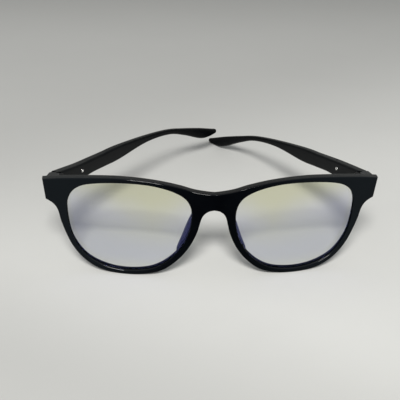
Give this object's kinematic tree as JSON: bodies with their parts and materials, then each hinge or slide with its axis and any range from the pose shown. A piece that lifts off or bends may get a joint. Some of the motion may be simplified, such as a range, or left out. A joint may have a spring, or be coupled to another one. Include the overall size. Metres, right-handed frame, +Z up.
{
  "type": "blue light glasses",
  "caption": "Full-rim computer glasses with blue-light filtering lenses, nose pads behind the rims and two temples that fold on screw hinges.",
  "frame": {"origin": "middle of the bounding box at the surface the glasses stand on", "axes": "+X to the right-hand side of someone facing the lenses, +Y from the lenses back along the temples, +Z up"},
  "size_m": [0.14, 0.1462, 0.0445],
  "materials": {
    "gloss_black": "polished black moulded plastic",
    "satin_black": "satin black moulded plastic",
    "clear_lens": "clear with a faint yellow filter and a violet-blue anti-reflection coat",
    "pad_black": "smooth black plastic",
    "hinge_steel": "satin nickel-plated steel",
    "polished_steel": "polished"
  },
  "bodies": {
    "front": {"front_frame": "gloss_black", "left_front_leaf": "hinge_steel", "left_hinge_screw": "hinge_steel", "left_lens": "clear_lens", "left_lower_rivet": "hinge_steel", "left_nose_pad": "pad_black", "left_upper_rivet": "hinge_steel", "right_front_leaf": "hinge_steel", "right_hinge_screw": "hinge_steel", "right_lens": "clear_lens", "right_lower_rivet": "hinge_steel", "right_nose_pad": "pad_black", "right_upper_rivet": "hinge_steel"},
    "left_temple": {"left_temple": "satin_black", "left_temple_leaf": "hinge_steel", "left_temple_pin": "polished_steel"},
    "right_temple": {"right_temple": "satin_black", "right_temple_leaf": "hinge_steel", "right_temple_pin": "polished_steel"}
  },
  "joints": [
    {"name": "right_fold", "type": "hinge", "parent": "front", "child": "right_temple", "pos_m": [0.0628, -0.05347, 0.035], "axis": [0, 0, 1], "range_deg": [-16.9, 69.1]},
    {"name": "left_fold", "type": "hinge", "parent": "front", "child": "left_temple", "pos_m": [-0.0628, -0.05347, 0.035], "axis": [0, 0, -1], "range_deg": [-28.9, 53.6]}
  ]
}
